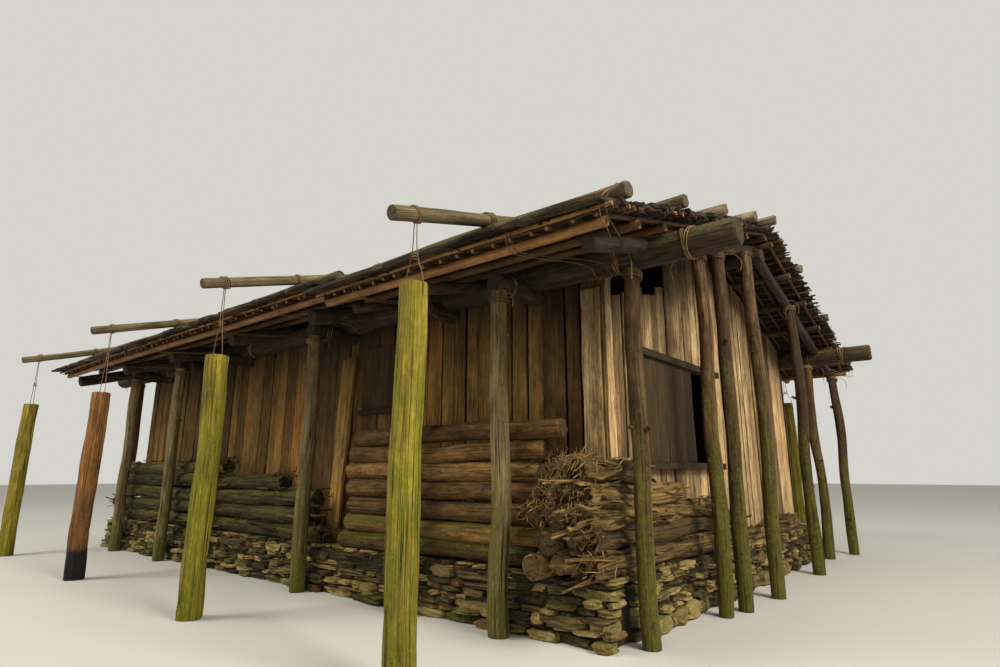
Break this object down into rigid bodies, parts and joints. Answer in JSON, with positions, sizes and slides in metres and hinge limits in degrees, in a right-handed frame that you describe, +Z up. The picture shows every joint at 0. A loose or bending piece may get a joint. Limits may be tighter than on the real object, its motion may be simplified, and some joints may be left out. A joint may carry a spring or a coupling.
{
  "type": "traditional timber house",
  "caption": "Low timber house: board walls on a dry stone plinth, gabled bark roof weighed down with logs, posts all round and stacked logs at its foot.",
  "frame": {"origin": "middle of the house's plan on the level ground that its posts stand on", "axes": "+X right along the front wall, +Y from the front wall into the house, +Z up"},
  "size_m": [10.6, 8.6654, 3.8385],
  "materials": {
    "dry_stone": "rough dry slate and field stone",
    "wall_boards": "weathered sawn boards",
    "shutter_boards": "dark weathered boards",
    "dark_log": "dark damp round logs with moss",
    "cane": "weathered poles and canes",
    "bark_cover": "dark bark and cane layers",
    "pole": "barked poles",
    "rope": "vine rope",
    "mossy_post": "hewn posts with green moss",
    "post": "round barked posts",
    "stack_log": "old stacked logs"
  },
  "bodies": {
    "root": {"plinth_front": "dry_stone", "plinth_back": "dry_stone", "plinth_left": "dry_stone", "plinth_right": "dry_stone", "front_wall_left": "wall_boards", "front_wall_right": "wall_boards", "front_wall_over_window": "wall_boards", "front_wall_under_window": "wall_boards", "back_wall": "wall_boards", "left_wall": "wall_boards", "right_wall_front": "wall_boards", "right_wall_back": "wall_boards", "right_wall_over_window": "wall_boards", "right_wall_under_window": "wall_boards", "right_shutter": "shutter_boards", "front_shutter": "shutter_boards", "shutter_rails": "shutter_boards", "tie_beams": "dark_log", "front_plate": "dark_log", "back_plate": "dark_log", "ridge_beam": "dark_log", "front_rafters": "dark_log", "back_rafters": "dark_log", "verge_rafters": "dark_log", "front_purlins": "cane", "back_purlins": "cane", "roof_front_left": "bark_cover", "roof_front_right": "bark_cover", "roof_back": "bark_cover", "front_weight_logs": "dark_log", "back_weight_logs": "dark_log", "ridge_log": "dark_log", "front_hold_poles": "pole", "back_hold_poles": "pole", "tie_ropes": "rope", "front_anchor_posts": "mossy_post", "back_anchor_posts": "mossy_post", "front_eave_posts": "post", "back_eave_posts": "post", "right_gable_posts": "post", "left_gable_posts": "post", "front_stack_right": "stack_log", "front_stack_left": "stack_log", "back_stack": "stack_log", "right_stack": "stack_log"}
  },
  "joints": []
}
